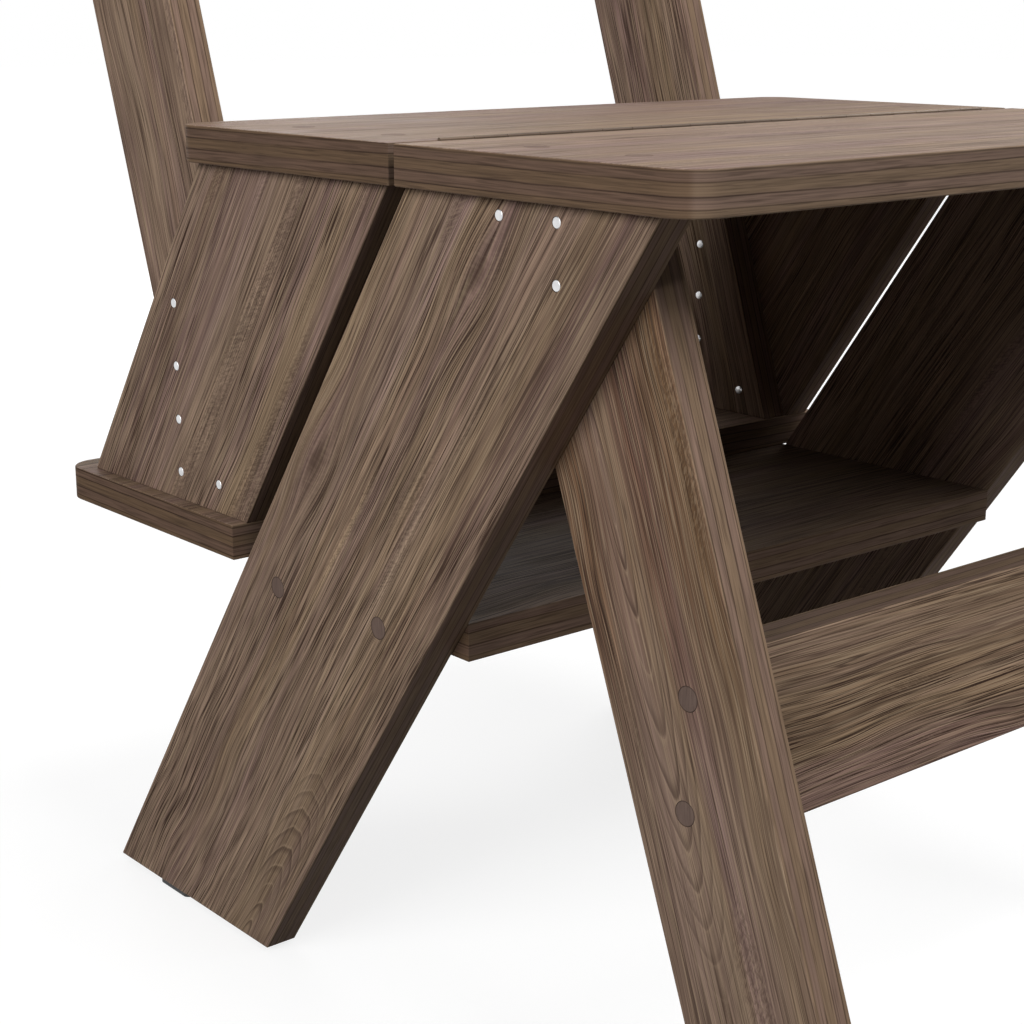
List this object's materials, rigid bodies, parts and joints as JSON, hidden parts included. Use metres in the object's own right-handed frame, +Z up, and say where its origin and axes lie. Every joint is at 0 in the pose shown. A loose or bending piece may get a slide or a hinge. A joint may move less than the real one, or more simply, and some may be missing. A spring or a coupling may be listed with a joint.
{
  "type": "folding step chair",
  "caption": "Wooden chair whose rear half turns over a hinge across the split seat, so that its back posts stand on the floor and the chair becomes a small step ladder.",
  "frame": {"origin": "on the floor, in the middle of the chair's width and of its depth from front feet to post tops", "axes": "+X to the right as seen from the front, +Y towards the back, +Z up"},
  "size_m": [0.458, 0.7246, 0.9064],
  "materials": {
    "board": "oiled straight-grained brown wood",
    "plug": "darker plug, sanded flush",
    "steel_pin": "satin",
    "zinc_screw": "zinc plated",
    "bronze": "browned bronze",
    "glide": "matte black"
  },
  "bodies": {
    "front_half": {"front_seat_board": "board", "left_slanted_leg": "board", "right_slanted_leg": "board", "left_front_leg": "board", "right_front_leg": "board", "low_step": "board", "front_stretcher": "board", "leg_pins": "steel_pin", "low_step_screws": "zinc_screw", "low_step_plugs": "plug", "stretcher_screws": "zinc_screw", "stretcher_plugs": "plug", "front_seat_screws": "zinc_screw", "front_seat_plugs": "plug", "left_rear_glide": "glide", "right_rear_glide": "glide", "left_front_glide": "glide", "right_front_glide": "glide", "front_hinge_leaf": "bronze", "hinge_pin": "bronze", "front_hinge_screws": "bronze"},
    "rear_half": {"rear_seat_board": "board", "left_side_panel": "board", "right_side_panel": "board", "top_step": "board", "left_back_post": "board", "right_back_post": "board", "upper_back_rail": "board", "lower_back_rail": "board", "left_seat_cleat": "board", "right_seat_cleat": "board", "post_pins": "steel_pin", "rear_seat_screws": "zinc_screw", "rear_seat_plugs": "plug", "top_step_screws": "zinc_screw", "top_step_plugs": "plug", "back_rail_screws": "zinc_screw", "back_rail_plugs": "plug", "cleat_screws": "zinc_screw", "rear_hinge_leaf": "bronze", "rear_hinge_screws": "bronze"}
  },
  "joints": [
    {"name": "fold_over", "type": "hinge", "parent": "front_half", "child": "rear_half", "pos_m": [0, -0.07831, 0.4532], "axis": [1, 0, 0], "range_deg": [0, 180]}
  ]
}
